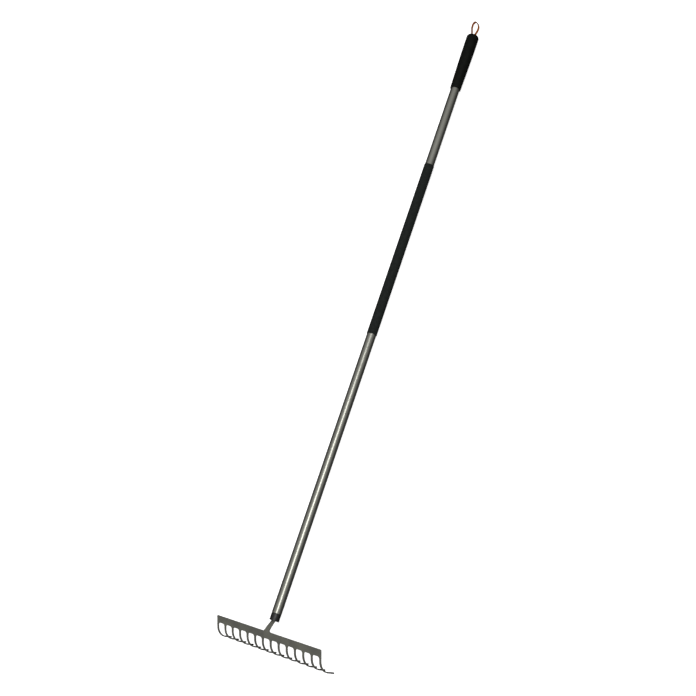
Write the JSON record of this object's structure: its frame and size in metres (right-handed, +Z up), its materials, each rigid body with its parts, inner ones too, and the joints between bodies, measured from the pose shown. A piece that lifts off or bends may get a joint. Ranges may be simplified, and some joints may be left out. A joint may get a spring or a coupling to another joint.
{
  "type": "garden rake",
  "caption": "Long-handled garden rake: a stamped steel bar with curved tines on a bent neck, an aluminium tube, black grips and a leather hanging loop.",
  "frame": {"origin": "centre of the footprint, loop left out, on the surface that the rake lies on", "axes": "+Y along the shaft towards the handle's end, +X along the head's bar, +Z up with the tine tips down"},
  "size_m": [0.37, 1.7516, 0.0661],
  "materials": {
    "coated_steel": "satin dark olive-grey powder coat",
    "ferrule_plastic": "matte black",
    "plain_steel": "zinc plated",
    "tube_aluminium": "satin, drawn along its length",
    "sleeve_rubber": "matte, fine grained",
    "grip_rubber": "matte",
    "loop_leather": "smooth tan with darker cut edges"
  },
  "bodies": {
    "rake": {"rake_head": "coated_steel", "ferrule_plug": "ferrule_plastic", "fixing_screw": "plain_steel", "shaft_tube": "tube_aluminium", "mid_grip": "sleeve_rubber", "end_grip": "grip_rubber", "end_plug": "ferrule_plastic", "loop_pin": "plain_steel"},
    "loop": {"hanging_loop": "loop_leather"}
  },
  "joints": [
    {"name": "loop_swing", "type": "hinge", "parent": "rake", "child": "loop", "pos_m": [0, 0.84271, 0.01673], "axis": [0, 0.0219, 0.9998], "range_deg": [-19, 13]}
  ]
}
